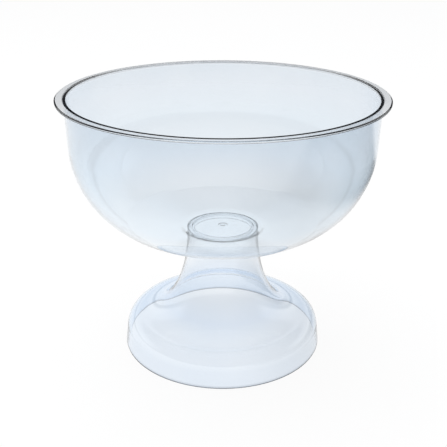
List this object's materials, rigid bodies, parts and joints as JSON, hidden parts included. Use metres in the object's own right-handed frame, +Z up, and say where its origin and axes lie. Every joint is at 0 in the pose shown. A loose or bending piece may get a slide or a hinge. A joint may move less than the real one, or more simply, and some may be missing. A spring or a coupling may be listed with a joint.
{
  "type": "footed dessert bowl",
  "caption": "Clear plastic dessert bowl with a rounded side and an outward lip, plugged onto a hollow flared pedestal foot from which it lifts off.",
  "frame": {"origin": "centre of the circle on which the foot stands, at table level", "axes": "+Z up along the axis of the bowl and the foot; the object is turned about it, so +X and +Y are any two level directions"},
  "size_m": [0.2, 0.2, 0.1681],
  "materials": {
    "bowl_plastic": "clear gloss moulding with a faint cool tint",
    "foot_plastic": "clear gloss moulding with a faint cool tint"
  },
  "bodies": {
    "foot": {"foot": "foot_plastic"},
    "bowl": {"bowl": "bowl_plastic"}
  },
  "joints": [
    {"name": "bowl_lift", "type": "slide", "parent": "foot", "child": "bowl", "axis": [0, 0, 1], "range_m": [0, 0.025]}
  ]
}
